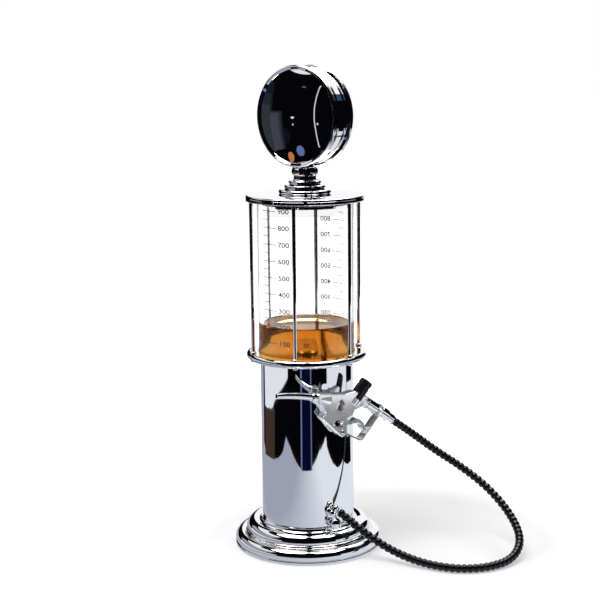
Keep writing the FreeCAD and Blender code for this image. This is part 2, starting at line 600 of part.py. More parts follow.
def head():
    half = HEAD_DEPTH / 2
    drum_half = half - BEZEL_W
    lip = 1.6
    bezel_step = 1.0
    rim = turned(outline(
        (BEZEL_BORE_R, drum_half), (HEAD_R - 1.2, drum_half), (HEAD_R - 0.2, drum_half + 0.6, HEAD_R,
         drum_half + 1.8), (HEAD_R - 0.5, half - 0.6, HEAD_R - 2.0, half), (BEZEL_BORE_R + 0.6, half - 1.6),
        (BEZEL_BORE_R, half - 2.4)))
    inner_step = tube(Vector(0, 0, drum_half - lip), UP, DRUM_R - DRUM_WALL - GAP, BEZEL_BORE_R - 1.6,
                      lip + bezel_step)
    bezel = rim.fuse(inner_step)
    back = bezel.copy()
    back.rotate(Vector(0, 0, 0), Vector(1, 0, 0), 180)
    save("front_bezel", facing(bezel))
    save("rear_bezel", facing(back))

    drum = tube(Vector(0, 0, -drum_half), UP, DRUM_R, DRUM_R - DRUM_WALL, 2 * drum_half)
    bead_r = DRUM_R + DRUM_BEAD_H
    root_r = DRUM_R - DRUM_WALL / 2
    for middle in (-DRUM_BEAD_AT, DRUM_BEAD_AT):
        low = middle - DRUM_BEAD_W / 2
        high = middle + DRUM_BEAD_W / 2
        drum = drum.fuse(turned(outline((root_r, low), (DRUM_R, low), (bead_r, middle, DRUM_R, high),
                                        (root_r, high))))
    drum = facing(drum)
    stem_hole = rod(Vector(0, 0, HEAD_Z - HEAD_R), UP, STEM_R + GAP, HEAD_R)
    save("head_drum", drum.cut(stem_hole))

    edge = BEZEL_BORE_R - GAP
    seat = drum_half + bezel_step
    dome_r = (edge ** 2 + MIRROR_BULGE ** 2) / (2 * MIRROR_BULGE)
    crown = seat + MIRROR_T + MIRROR_BULGE
    fall = math.sqrt(dome_r ** 2 - (edge / 2) ** 2) - (dome_r - MIRROR_BULGE)
    mirror = turned(outline(
        (0, seat + MIRROR_BULGE), (edge / 2, seat + fall, edge, seat), (edge, seat + MIRROR_T),
        (edge / 2, seat + MIRROR_T + fall, 0, crown)))
    other = mirror.copy()
    other.rotate(Vector(0, 0, 0), Vector(1, 0, 0), 180)
    save("front_mirror", facing(mirror))
    save("rear_mirror", facing(other))

    drum_low = HEAD_Z - DRUM_R
    saddle = rod(Vector(0, 0, STEM_FLANGE_Z), UP, SADDLE_R, DRUM_R)
    axis_start = Vector(0, 0, HEAD_Z) - facing_axis() * HEAD_R
    saddle = saddle.cut(rod(axis_start, facing_axis(), bead_r + GAP, 2 * HEAD_R))
    saddle = keep_below(saddle, HEAD_Z)
    stem = rod(Vector(0, 0, PEDESTAL_TOP_Z - STEM_DEPTH), UP, STEM_R, STEM_DEPTH + drum_low - PEDESTAL_TOP_Z + 8.0)
    save("swivel_stem", saddle.fuse(stem))
    nut = hexagon(3.25 * STEM_R, 0.8 * STEM_R, STEM_R, Vector(0, 0, drum_low + DRUM_WALL + 0.9))
    save("stem_nut", nut)


def facing_axis():
    """The head's front direction."""
    return radial(HEAD_YAW)


def keep_below(shape, z):
    low = [s for s in shape.Solids if s.CenterOfMass.z < z]
    return Part.makeCompound(low)


# ---------------------------------------------------------------- outlet and hose
def outlet():
    out = radial(OUTLET_AZ)
    centre = out * (COLUMN_R + OUTLET_REACH) + Vector(0, 0, OUTLET_Z)
    inner = out * (COLUMN_BORE_R - OUTLET_INSIDE) + Vector(0, 0, OUTLET_Z)
    aim = Vector(*OUTLET_DIR).normalize()
    stub_l = centre.distanceToPoint(inner)
    body = rod(inner, out, OUTLET_STUB_R, stub_l)
    body = body.fuse(rod(inner - out * 7.0, out, FEED_BORE_R, 8.0))
    flange = rod(out * (COLUMN_R - 0.2) + Vector(0, 0, OUTLET_Z), out, OUTLET_BODY_R + 0.9, 1.8)
    body = body.fuse(flange.cut(rod(Vector(0, 0, SHELL_BOTTOM_Z), UP, COLUMN_R + 0.02, COLUMN_TOP_Z)))
    body = body.fuse(Part.makeSphere(OUTLET_BODY_R, centre))
    knee = centre + Vector(*OUTLET_KNEE)
    link = knee - centre
    body = body.fuse(rod(centre, link, OUTLET_KNEE_R, link.Length))
    body = body.fuse(Part.makeSphere(OUTLET_KNEE_R, knee))
    body = body.fuse(rod(knee, aim, HOSE_BARB_R, OUTLET_KNEE_R + GAP + OUTLET_FERRULE_L))
    bowl_at = centre + Vector(*OUTLET_BOWL)
    neck = bowl_at - centre
    body = body.fuse(rod(centre, neck, OUTLET_STUB_R, neck.Length))
    half = OUTLET_BOWL_H / 2
    bowl = turned(outline(
        (0, -half), (OUTLET_BOWL_R - 1.6, -half), (OUTLET_BOWL_R - 0.4, 0.8 - half, OUTLET_BOWL_R, 2.2 - half),
        (OUTLET_BOWL_R, half - 4.0), (OUTLET_BOWL_R - 1.6, half - 1.2, OUTLET_STUB_R, half), (0, half)))
    bowl.translate(bowl_at)
    body = body.fuse(bowl)
    body = body.cut(rod(inner - out * 8.0, out, OUTLET_BORE_R, stub_l + 8.0))
    body = body.cut(rod(centre, link, OUTLET_BORE_R, link.Length))
    body = body.cut(rod(knee, aim, OUTLET_BORE_R, 20))
    start = knee + aim * (OUTLET_KNEE_R + GAP)
    body = body.cut(tube(start - aim * GAP, aim, FERRULE_R + GAP, HOSE_BARB_R, 2 * FERRULE_R))
    save("outlet_elbow", body)
    nut = tube(out * (COLUMN_BORE_R - 4.4) + Vector(0, 0, OUTLET_Z), out, OUTLET_STUB_R + 3.0, OUTLET_STUB_R, 3.2)
    save("outlet_nut", nut)
    ferrule = tube(start, aim, FERRULE_R, HOSE_BARB_R, OUTLET_FERRULE_L)
    lip = [e for e in ferrule.Edges if abs(e.Length - 2 * math.pi * FERRULE_R) < 0.01]
    save("outlet_ferrule", ferrule.makeFillet(0.6, lip))
    return start + aim * OUTLET_FERRULE_L


def hose(start):
    end = hung_point(handle_point(0.0, hose_stop()))
    lead_out = start + Vector(*OUTLET_DIR).normalize() * HOSE_LEAD_OUT
    lead_gun = hung_point(handle_point(0.0, hose_stop() + HOSE_LEAD_GUN))
    points = [tuple(start), tuple(lead_out)] + HOSE_ROUTE + [tuple(lead_gun), tuple(end)]
    solid, length, radii = pipe(points, HOSE_R)
    expected = math.pi * HOSE_R ** 2 * length
    print("hose length %.1f mm, volume ratio %.5f, valid %s" % (length, solid.Volume / expected, solid.isValid()))
    print("hose bend radii " + " ".join("%.1f" % r for r in radii))
    print("hose route " + " ".join("(%.2f, %.2f, %.2f)" % tuple(p) for p in points))
    save("hose", solid)


# ---------------------------------------------------------------- nozzle
def handle_point(side, along):
    """A point of the nozzle's plane, along the handle's axis and off to its upper side."""
    start = Vector(HANDLE_START[0], 0, HANDLE_START[1])
    return start + in_plane(HANDLE_DEG) * along + in_plane(HANDLE_DEG + 90) * side


def cap_point(along):
    return Vector(CAP_SEAT[0], 0, CAP_SEAT[1]) + in_plane(CAP_DEG) * along


def hung_point(point):
    return GUN_PLACE.multVec(point)


def hose_stop():
    return GUARD_RING_AT + GUARD_RING_L + GAP + FERRULE_L


def pivot_point(y=0.0):
    return Vector(PIVOT[0], y, PIVOT[1])


def gun_body():
    """Cast body: nose, arch and cheeks in one, with a slot between the cheeks for the trigger."""
    side = rounded([
        (-23.6, 173.6, 1.5), (-8.0, 171.0, 8.0), (8.0, 169.2, 8.0), (19.0, 170.6, 3.0), (34.2, 162.2, 1.2),
        (28.8, 154.3, 1.2), (17.8, 151.4, 3.0), (15.6, 146.2, 1.2), (9.4, 144.0, 1.2), (8.4, 128.4, 3.0),
        (3.0, 125.4, 3.6), (-20.8, 148.4, 1.6), (-15.4, 152.0, 1.2), (-20.8, 160.6, 2.0), (-24.8, 162.6, 1.0)])
    body = plate(side, BODY_T)
    outer = [e for e in body.Edges if abs(e.BoundBox.YLength) < 1e-4]
    body = body.makeFillet(1.0, outer)
    arch = rounded([(-4.9, 155.3, 1.4), (-1.4, 162.8, 2.0), (3.2, 164.9, 1.4), (6.4, 159.4, 1.2), (2.8, 151.7, 1.2)])
    body = body.cut(plate(arch, 2 * BODY_T))
    spring_slot = rounded([(-1.4, 138.6, 0.8), (5.2, 138.0, 0.8), (5.8, 135.2, 0.8), (-0.4, 135.2, 0.8)])
    body = body.cut(plate(spring_slot, 2 * BODY_T))
    along = in_plane(HANDLE_DEG)
    body = body.fuse(Part.makeCone(4.6, 6.0, 13.0, handle_point(0, SLEEVE_AT - GAP - 13.0), along))
    body = body.fuse(rod(cap_point(-BOSS_L), in_plane(CAP_DEG), BOSS_R, BOSS_L))
    nose = Vector(NOSE_END[0], 0, NOSE_END[1])
    nose_dir = in_plane(NOSE_DEG)
    body = body.fuse(Part.makeCone(6.9, SPOUT_COLLAR_R + 0.4, 15.0, nose - nose_dir * 15.0, nose_dir))
    body = body.fuse(rod(handle_point(0, -1), along, HANDLE_TUBE_R, HANDLE_TUBE_L + 1))
    body = body.fuse(rod(pivot_point(-BODY_T / 2 - 0.5), Vector(0, 1, 0), 3.9, BODY_T + 1.0))
    stud_x, stud_z = STUD
    ball = Part.makeSphere(STUD_BALL_R, Vector(stud_x, STUD_BALL_R - STUD_PROUD - BODY_T / 2, stud_z))
    body = body.fuse(ball.common(rod(Vector(stud_x, -BODY_T, stud_z), Vector(0, 1, 0), STUD_R, BODY_T - 2.0)))
    eye_back = HOOK_Y + HOOK_T + 1.7
    eye = Part.makeBox(HOOK_W + 4.6, eye_back - BODY_T / 2 + 1.0, 8.0,
                       Vector(HOOK_X - HOOK_W / 2 - 2.3, BODY_T / 2 - 1.0, EYE_Z + HOOK_CLEAR / 3))
    body = body.fuse(eye)
    eye_slot = Part.makeBox(HOOK_W + 2 * HOOK_CLEAR, HOOK_T + 2 * HOOK_CLEAR, 30,
                            Vector(HOOK_X - HOOK_W / 2 - HOOK_CLEAR, HOOK_Y - HOOK_CLEAR, EYE_Z - 5))
    body = body.cut(eye_slot)
    slot = plate(rounded([(-11.0, 150.4, 1.0), (18.5, 150.4, 0), (18.5, 120.0, 0), (-11.0, 120.0, 0)]), SLOT_T)
    body = body.cut(slot)
    body = body.cut(rod(pivot_point(-BODY_T), Vector(0, 1, 0), PIVOT_R, 2 * BODY_T))
    body = body.cut(rod(guard_screw_point(-BODY_T), Vector(0, 1, 0), GUARD_SCREW_R, 2 * BODY_T))
    body = body.cut(rod(cap_point(-CHAMBER_DEPTH), in_plane(CAP_DEG), CHAMBER_R, CHAMBER_DEPTH + 1))
    body = body.cut(rod(cap_point(-40), in_plane(CAP_DEG), STEM_ROD_R + FIT, 40))
    body = body.cut(rod(handle_point(0, -6), along, 2.0, HANDLE_TUBE_L + 8))
    body = body.cut(rod(nose, nose_dir * -1, SPOUT_R - SPOUT_WALL, 20))
    body = body.cut(rod(nose, nose_dir, 2 * SPOUT_COLLAR_R, 2 * SPOUT_COLLAR_L))
    body = body.cut(rod(cap_point(0), in_plane(CAP_DEG), CAP_R + GAP, CAP_L + 2))
    save("gun_body", hung(body))


def guard_screw_point(y=0.0):
    return Vector(GUARD_SCREW[0], y, GUARD_SCREW[1])


def spout():
    start = Vector(NOSE_END[0], 0, NOSE_END[1])
    direction = in_plane(NOSE_DEG)
    end = Vector(SPOUT_TIP[0], 0, SPOUT_TIP[1])
    edge = tangent_arc(start, direction, end)
    path = Part.Wire([edge])
    root = edge.tangentAt(edge.FirstParameter)
    tip = edge.tangentAt(edge.LastParameter)
    skins = []
    for wall in (0.0, SPOUT_WALL):
        ends = [Part.Wire(Part.makeCircle(SPOUT_R - wall, start, root)),
                Part.Wire(Part.makeCircle(SPOUT_TIP_R - wall, edge.Vertexes[-1].Point, tip))]
        skins.append(path.makePipeShell(ends, True, False))
    save("spout", hung(skins[0].cut(skins[1])))
    collar = tube(start, direction, SPOUT_COLLAR_R, SPOUT_R - 0.2, SPOUT_COLLAR_L)
    rim = [e for e in collar.Edges if len(e.Vertexes) == 1 and abs(e.Length - 2 * math.pi * SPOUT_COLLAR_R) < 0.01
           and e.CenterOfMass.x < start.x - 2]
    save("spout_nut", hung(collar.makeFillet(0.7, rim).cut(skins[0])))


def bonnet():
    cap_dir = in_plane(CAP_DEG)
    groove_low = CAP_GROOVE_AT
    section = outline(
        (CAP_R - CAP_WALL, 0), (CAP_R - 0.4, 0), (CAP_R, 0.4), (CAP_R, groove_low), (CAP_R - 0.7, groove_low + 0.6),
        (CAP_R - 0.7, groove_low + 1.4), (CAP_R, groove_low + 2.0), (CAP_R, CAP_L - 1.2),
        (CAP_R - 0.35, CAP_L - 0.35, CAP_R - 1.2, CAP_L), (0, CAP_L), (0, CAP_L - 2.4), (CAP_R - CAP_WALL, CAP_L - 2.4))
    cap = turned(section)
    cap.rotate(Vector(0, 0, 0), Vector(0, 1, 0), 90 - CAP_DEG)
    cap.translate(cap_point(GAP))
    save("bonnet_cap", hung(cap))
    inside = (CHAMBER_R + CAP_R - CAP_WALL) / 2
    ring_r = (CAP_R - CAP_WALL - CHAMBER_R) / 2 - GAP / 2
    ring = Part.makeTorus(inside, ring_r, cap_point(ring_r), cap_dir)
    save("bonnet_ring", hung(ring))


def tangent_arc(start, direction, end):
    """Arc that leaves start along direction and ends at end."""
    chord = end - start
    bend = direction.getAngle(chord)
    side = (direction - chord * (direction.dot(chord) / chord.dot(chord))).normalize()
    crown = (start + end) * 0.5 + side * (chord.Length / 2 * math.tan(bend / 2))
    return Part.Arc(start, crown, end).toShape()


def on_handle(section, at):
    """Turn a section about the handle's axis, starting at a distance along it."""
    solid = turned(section)
    solid.rotate(Vector(0, 0, 0), Vector(0, 1, 0), 90 - HANDLE_DEG)
    solid.translate(handle_point(0, at))
    return solid


def handle_parts():
    bore = HANDLE_TUBE_R + GAP
    sleeve = outline(
        (bore, 0), (SLEEVE_R - 0.5, 0), (SLEEVE_R, 0.5), (SLEEVE_R, 2.6), (SLEEVE_R - 0.5, 3.0), (SLEEVE_R - 0.5, 3.6),
        (SLEEVE_R, 4.0), (SLEEVE_R, SLEEVE_L - 0.8), (SLEEVE_R - 0.8, SLEEVE_L), (bore, SLEEVE_L))
    save("handle_sleeve", hung(on_handle(sleeve, SLEEVE_AT)))
    wide = FERRULE_BIG_R
    narrow = FERRULE_SMALL_R
    step = FERRULE_STEP
    tube_end = HANDLE_TUBE_L - GUARD_RING_AT - GUARD_RING_L - GAP + 0.2
    ferrule = outline(
        (bore, 0), (wide - 0.4, 0), (wide, 0.4), (wide - 0.5, step - 0.8), (wide - 1.2, step), (narrow, step),
        (narrow, FERRULE_L - 0.6), (narrow - 0.6, FERRULE_L), (1.9, FERRULE_L), (1.9, tube_end), (bore, tube_end))
    save("hose_ferrule", hung(on_handle(ferrule, GUARD_RING_AT + GUARD_RING_L + GAP)))


def guard():
    """Bent strap from the foot of the cheeks round the trigger to a ring on the handle."""
    bore = HANDLE_TUBE_R + GAP
    ring = on_handle(outline((bore, 0), (FERRULE_BIG_R, 0), (FERRULE_BIG_R, GUARD_RING_L), (bore, GUARD_RING_L)),
                     GUARD_RING_AT)
    top = handle_point(-FERRULE_BIG_R + 0.6, GUARD_RING_AT + GUARD_RING_L / 2)
    t = GUARD_T
    foot = (9.4, 128.9)
    low = (26.0, 119.3)
    strap = rounded([
        (foot[0], foot[1] - t, 0), (low[0] - 0.2, low[1] - t * 1.1, 3.6 + t), (top.x + t * 0.75, top.z, 0),
        (top.x - t * 0.75, top.z, 0), (low[0] + 0.2, low[1] + 0.5, 3.6), (foot[0], foot[1], 0)])
    strap = plate(strap, GUARD_W)
    tongue = rounded([
        (foot[0] + 0.4, foot[1] - t - 0.2, 0), (foot[0] + 0.4, foot[1] - 0.2, 0), (GUARD_SCREW[0] + 1.4,
         GUARD_SCREW[1] + 2.2, 1.0), (GUARD_SCREW[0] - 2.2, GUARD_SCREW[1] + 1.6, 1.8), (GUARD_SCREW[0] - 1.6,
         GUARD_SCREW[1] - 2.2, 1.8)])
    tongue = plate(tongue, SLOT_T - 2 * GAP)
    tongue = tongue.cut(rod(guard_screw_point(-BODY_T), Vector(0, 1, 0), GUARD_SCREW_R, 2 * BODY_T))
    save("trigger_guard", hung(strap.fuse(tongue).fuse(ring)))
    screw = rod(guard_screw_point(-BODY_T / 2), Vector(0, 1, 0), GUARD_SCREW_R, BODY_T - 0.4)
    head_shape = Part.makeSphere(2.6, guard_screw_point(1.4 - BODY_T / 2)).common(
        rod(guard_screw_point(-BODY_T / 2), Vector(0, -1, 0), 2.2, 2.0))
    slot = Part.makeBox(6, 0.6, 0.7, guard_screw_point(-BODY_T / 2 - 1.3) + Vector(-3, 0, -0.35))
    save("guard_screw", hung(screw.fuse(head_shape).cut(slot)))


def pivot_screw():
    face = -BODY_T / 2 - 0.5
    pin = rod(pivot_point(face), Vector(0, 1, 0), PIVOT_R - FIT, BODY_T + 1.0)
    head_shape = rod(pivot_point(face - 1.2), Vector(0, 1, 0), 3.0, 1.2)
    socket = rod(pivot_point(face - 1.3), Vector(0, 1, 0), 1.9, 1.1)
    save("pivot_screw", hung(pin.fuse(head_shape).cut(socket)))


def trigger():
    """Lever between the cheeks; a nose on its upper side lifts the valve's stem."""
    contact = cap_point(-STEM_LENGTH - SEAT)
    across = in_plane(CAP_DEG - 90)
    nose_left = contact - across * 2.2
    nose_right = contact + across * 2.2
    x, z = PIVOT
    lever = rounded([
        (x - 4.0, z - 1.2, 3.4), (x - 3.0, z + 4.0, 2.9), (x + 4.4, z + 3.6, 1.5), (nose_left.x, nose_left.z, 0.8),
        (nose_right.x, nose_right.z, 0.8), (10.6, 141.4, 1.5), (16.0, 139.4, 4.0), (23.0, 142.0, 3.4),
        (28.0, 137.2, 5.0), (31.0, 129.4, 0.7), (28.8, 128.6, 0.7), (25.8, 135.4, 4.0), (22.2, 139.0, 2.0),
        (15.5, 136.6, 4.0), (6.0, 137.0, 4.0), (x + 2.4, z - 4.6, 3.0)])
    solid = plate(lever, TRIGGER_T)
    pad = rounded([
        (TRIGGER_PAD_X, 140.3, 0.8), (23.0, 142.4, 3.6), (28.3, 137.4, 5.2), (31.4, 129.3, 0.8), (28.5, 128.2, 0.8),
        (25.5, 135.2, 3.8), (22.1, 138.6, 1.8), (TRIGGER_PAD_X, 136.9, 0.8)])
    solid = solid.fuse(plate(pad, TRIGGER_PAD_T))
    solid = solid.cut(rod(pivot_point(-BODY_T), Vector(0, 1, 0), PIVOT_R, 2 * BODY_T))
    save("trigger", hung(solid))


def valve():
    axis = in_plane(CAP_DEG)
    disc_at = -CHAMBER_DEPTH + 1.6
    disc_t = 1.6
    tip_at = STEM_ROD_R - STEM_LENGTH
    stem = rod(cap_point(tip_at), axis, STEM_ROD_R, disc_at - tip_at + 0.5)
    stem = stem.fuse(Part.makeSphere(STEM_ROD_R, cap_point(tip_at)))
    stem = stem.fuse(rod(cap_point(disc_at), axis, CHAMBER_R - 0.4, disc_t))
    stem = stem.fuse(rod(cap_point(disc_at + 1.0), axis, 1.1, 8.0))
    save("valve_stem", hung(stem))
    washer_t = disc_at + CHAMBER_DEPTH - SEAT
    save("valve_washer", hung(tube(cap_point(SEAT - CHAMBER_DEPTH), axis, CHAMBER_R - 0.6, STEM_ROD_R, washer_t)))
    spring_low = disc_at + disc_t + SEAT
    spring_high = CAP_L - 2.4 + GAP - SEAT
    length = spring_high - spring_low
    wire_r = 0.45
    mean = 3.0
    turns = 6.0
    helix = Part.makeHelix((length - 2 * wire_r) / turns, length - 2 * wire_r, mean)
    profile = Part.Wire(Part.makeCircle(wire_r, Vector(mean, 0, 0), Vector(0, 1, 0)))
    coil = Part.Wire(helix.Edges).makePipeShell([profile], True, True)
    coil.translate(Vector(0, 0, wire_r))
    coil.rotate(Vector(0, 0, 0), Vector(0, 1, 0), 90 - CAP_DEG)
    coil.translate(cap_point(spring_low))
    save("valve_spring", hung(coil))


# ---------------------------------------------------------------- hook on the column
def holder_azimuth():
    return GUN_AZ + math.degrees(math.asin(HOOK_X / (COLUMN_R + SADDLE_T)))


def holder():
    azimuth = holder_azimuth()
    wrap = SADDLE_HALF_DEG
    low_z = HOOK_SHELF_Z - SADDLE_H
    tip_z = EYE_Z + HOOK_RISE
    sector = tube(Vector(0, 0, low_z), UP, COLUMN_R + SADDLE_T, COLUMN_R + 0.02, SADDLE_H)
    wedge = Part.Face(Part.makePolygon([
        Vector(0, 0, low_z), radial(azimuth - wrap) * 90 + Vector(0, 0, low_z),
        radial(azimuth + wrap) * 90 + Vector(0, 0, low_z), Vector(0, 0, low_z)]))
    saddle = sector.common(wedge.extrude(Vector(0, 0, SADDLE_H)))
    shelf_t = 4.2
    left = HOOK_X - HOOK_W / 2
    shelf = Part.makeBox(HOOK_W, 12.0, shelf_t, Vector(left, HOOK_Y, EYE_Z - shelf_t))
    tongue = Part.makeBox(HOOK_W, HOOK_T, HOOK_RISE + shelf_t,
                          Vector(left, HOOK_Y, EYE_Z - shelf_t))
    tips = [e for e in tongue.Edges if abs(e.CenterOfMass.z - tip_z) < 0.01 and e.BoundBox.YLength > 1]
    tongue = tongue.makeFillet(2.6, tips)
    hook = hung(shelf.fuse(tongue))
    inside = Part.makeCylinder(COLUMN_R + 0.02, HOOK_SHELF_Z + HOOK_RISE)
    solid = hook.cut(inside).fuse(saddle)
    screws = []
    for drop in HOLDER_SCREW_DROP:
        z = HOOK_SHELF_Z - drop
        out = radial(azimuth)
        at = out * (COLUMN_BORE_R - 3.5) + Vector(0, 0, z)
        solid = solid.cut(rod(at, out, HOLDER_SCREW_R + GAP, 20))
        shank = rod(at, out, HOLDER_SCREW_R, COLUMN_WALL + 3.5 + SADDLE_T + 0.4)
        seat_at = out * (COLUMN_R + SADDLE_T) + Vector(0, 0, z)
        head_shape = Part.makeSphere(2.7, seat_at - out * 1.2).common(rod(seat_at, out, 2.7, 3))
        recess = rod(seat_at + out * 0.8, out, 0.8, 2)
        screws.append(shank.fuse(head_shape).cut(recess))
    save("gun_hook", solid)
    save("hook_screws", Part.makeCompound(screws))


def build():
    os.makedirs("parts", exist_ok=True)
    base_parts()
    column_tube()
    support_ring()
    cage()
    canister()
    feed_line(drain())
    lid()
    pedestal()
    head()
    hose_start = outlet()
    hose(hose_start)
    gun_body()
    spout()
    bonnet()
    handle_parts()
    guard()
    pivot_screw()
    trigger()
    valve()
    holder()


build()
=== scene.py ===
import bpy
import json
import math
from mathutils import Euler, Matrix, Vector

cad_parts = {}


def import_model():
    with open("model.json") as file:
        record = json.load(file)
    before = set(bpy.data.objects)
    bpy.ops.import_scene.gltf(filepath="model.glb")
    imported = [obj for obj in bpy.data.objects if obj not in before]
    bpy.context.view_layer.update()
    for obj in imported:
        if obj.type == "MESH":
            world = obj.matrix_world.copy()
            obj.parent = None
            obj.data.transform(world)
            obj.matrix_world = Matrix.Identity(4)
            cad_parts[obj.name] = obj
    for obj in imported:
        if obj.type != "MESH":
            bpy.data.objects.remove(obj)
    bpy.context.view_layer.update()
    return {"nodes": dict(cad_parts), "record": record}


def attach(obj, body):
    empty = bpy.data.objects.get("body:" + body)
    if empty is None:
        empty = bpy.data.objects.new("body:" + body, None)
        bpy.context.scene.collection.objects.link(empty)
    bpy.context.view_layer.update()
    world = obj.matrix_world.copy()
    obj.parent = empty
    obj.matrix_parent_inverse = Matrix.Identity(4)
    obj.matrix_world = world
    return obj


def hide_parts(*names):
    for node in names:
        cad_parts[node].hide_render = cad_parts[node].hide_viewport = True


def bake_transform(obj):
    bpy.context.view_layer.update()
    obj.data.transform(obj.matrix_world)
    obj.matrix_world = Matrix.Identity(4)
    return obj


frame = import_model()
nodes = frame["nodes"]
scene = bpy.context.scene
scene.view_settings.view_transform = "Standard"

MM = 0.001

# ---------------------------------------------------------------- camera, in m and degrees
CAMERA_AT = (-0.0063, -1.332, 0.490)
CAMERA_TILT_DEG = 80.0        # from straight down
CAMERA_ROLL_DEG = -0.6
CAMERA_LENS_MM = 80.04
CAMERA_SENSOR_MM = 36.0

# ---------------------------------------------------------------- studio, in m, colours in 8 bits
SKY_AS_LIGHT = 0.45           # strength of the white round everything as a light; it is seen at 1
SKY_FRONT_Y = -0.1            # directions with a lower Y count as the front
LAMPS = [                     # name, place, what it aims at, diameter, power
    ("top", (-0.3, -0.4, 1.7), (0, 0, 0.2), 1.2, 22),
    ("left", (-1.3, -0.9, 0.9), (0, 0, 0.25), 0.8, 12),
    ("right", (1.3, -0.6, 0.8), (0, 0, 0.2), 0.8, 8)]

FLOOR_HALF = 3.0
FLOOR_COLOUR = (0.5, 0.5, 0.51)
FLOOR_FRONT_Y = -0.05         # ground with a lower Y counts as the front
SHADOW_AT = (0.07, -0.03, 0)  # middle of the painted shade on the ground, where the real shadows fall too
SHADOW_R = 0.18               # the ground glows more and more from here
LIT_R = 0.38                  # to here, where it is plain white
# glow of the ground at that middle: painted shade, darker than the plain white far off
SHADOW_GLOW = 0.34
# glow of the front ground in what comes back through clear pieces: a painted dark reflection
DARK_REFLECTION_GLOW = 0.003

WALL_R = 1.3                  # of the dark room round the table
INNER_R = WALL_R - 0.01       # of what hangs in front of its walls
FAR_R = WALL_R - 0.02         # of what only the domed mirror shows
LAYER = 0.001                 # between cards of one soft-edged patch
FLOOR_Z = -0.002              # dark floor of the room, over the table top's card
MARK_Z = -0.001               # marks on that floor
CEILING_Z = 2.84
DARK_WALL = (6, 6, 9)
DARK_FLOOR = (5, 5, 8)
JOINT = (8, 8, 10)
BAND_STEP_DEG = 4
DISC_SIDES = 20

# Cards swept round the axis: name, (radius, height) of two edges, azimuths from and to, colour
WALLS = [
    ("wall_front", (WALL_R, -0.02), (WALL_R, 2.8), -46, 48, DARK_WALL),
    ("wall_left", (WALL_R, -0.02), (WALL_R, 2.2), -126, -46, DARK_WALL),
    ("wall_left_back", (WALL_R, 0.06), (WALL_R, 2.4), -172, -126, DARK_WALL),
    ("wall_right", (WALL_R, -0.02), (WALL_R, 2.2), 48, 112, DARK_WALL),
    ("wall_right_back", (WALL_R, 0.06), (WALL_R, 1.15), 112, 150, (6, 8, 12)),
    ("wall_blue_top", (INNER_R, 0.95), (INNER_R, 1.18), 96, 113, (50, 76, 102))]
FLOOR_MARKS = [
    ("room_floor_right", (0.325, FLOOR_Z), (0.45, FLOOR_Z), 112, 130, DARK_FLOOR),
    ("room_floor_far", (0.76, FLOOR_Z), (WALL_R, FLOOR_Z), 112, 140, DARK_FLOOR),
    ("blue_line_left", (0.34, MARK_Z), (INNER_R, MARK_Z), -16, -13, (110, 122, 165)),
    ("navy_between", (0.34, -0.0015), (INNER_R, -0.0015), -13, 7, (8, 10, 38)),
    ("blue_line_right", (0.34, MARK_Z), (INNER_R, MARK_Z), 7, 10, (90, 105, 140)),
    ("brown_box", (0.36, MARK_Z), (0.62, MARK_Z), -126, -86, (62, 50, 42))]
UPRIGHTS = [
    ("left_window", (INNER_R, 0.88), (INNER_R, 1.5), -150, -66, (240, 240, 244)),
    ("left_screen", (0.4, 0.13), (0.4, 0.235), -132, -64, (168, 168, 176)),
    ("right_panel", (0.685, 0.002), (0.7, 0.14), 48, 110, (228, 231, 238))]
CEILING_JOINTS = [
    ("ceiling_joint", (0.2, CEILING_Z), (3.4, CEILING_Z), -12, 20, JOINT),
    ("ceiling_joint_right", (1.5, CEILING_Z), (2.6, CEILING_Z), 146, 153, JOINT)]

# Near edge of the dark floor: (azimuth, radius)
FLOOR_EDGE = [
    (-135, 0.42), (-123, 0.376), (-104, 0.389), (-82, 0.371), (-61, 0.413), (-53, 0.487), (-42, 0.443),
    (-30, 0.387), (-14, 0.347), (0, 0.345), (17, 0.38), (28, 0.431), (45, 0.488), (46, 0.44), (54, 0.391),
    (76, 0.333), (93, 0.357), (112, 0.325)]

# Foot of the white panel on the left: (azimuth, height)
PANEL_FOOT = [
    (-126, 0.0), (-107, -0.002), (-92, 0.002), (-86, 0.012), (-70, 0.028), (-53, 0.043), (-47, 0.05)]
PANEL_FOOT_R = 0.61
PANEL_TOP_R = 0.64
PANEL_TOP_Z = 0.13

# Bright edge of the far door: (azimuth, height)
DOOR_EDGE = [(-60.5, 0.76), (-62.0, 0.63), (-63.0, 0.5), (-63.2, 0.355), (-62.6, 0.23), (-62.0, 0.02)]
DOOR_EDGE_HALF_DEG = 0.4

# Upright round cards: name, azimuth, radius from the axis, height, own radius, colour
DISCS = [
    ("dark_chair", -86.2, FAR_R, 0.185, 0.085, (14, 18, 34)),
    ("blue_ball", -76.6, 1.1, 0.052, 0.060, (98, 112, 162)),
    ("orange_ball", -85.4, 0.97, 0.06, 0.042, (196, 122, 76)),
    ("spark_left", -79.2, FAR_R, 0.306, 0.011, (225, 225, 230)),
    ("spark_right", -61.0, FAR_R, 0.308, 0.014, (215, 215, 220))]

CEILING_AREA = (-1.5, 1.5, -0.75, 3.0)     # x from and to, y from and to
CEILING_STRENGTH = 7.0
TABLE_AREA = (-0.9, 0.9, -0.9, 1.6)
TABLE_Z = -0.003
TABLE_LEFT = (162, 165, 182)
TABLE_RIGHT = (230, 234, 241)
TABLE_FADE_HALF = 0.15        # the table's colour changes over this far on either side

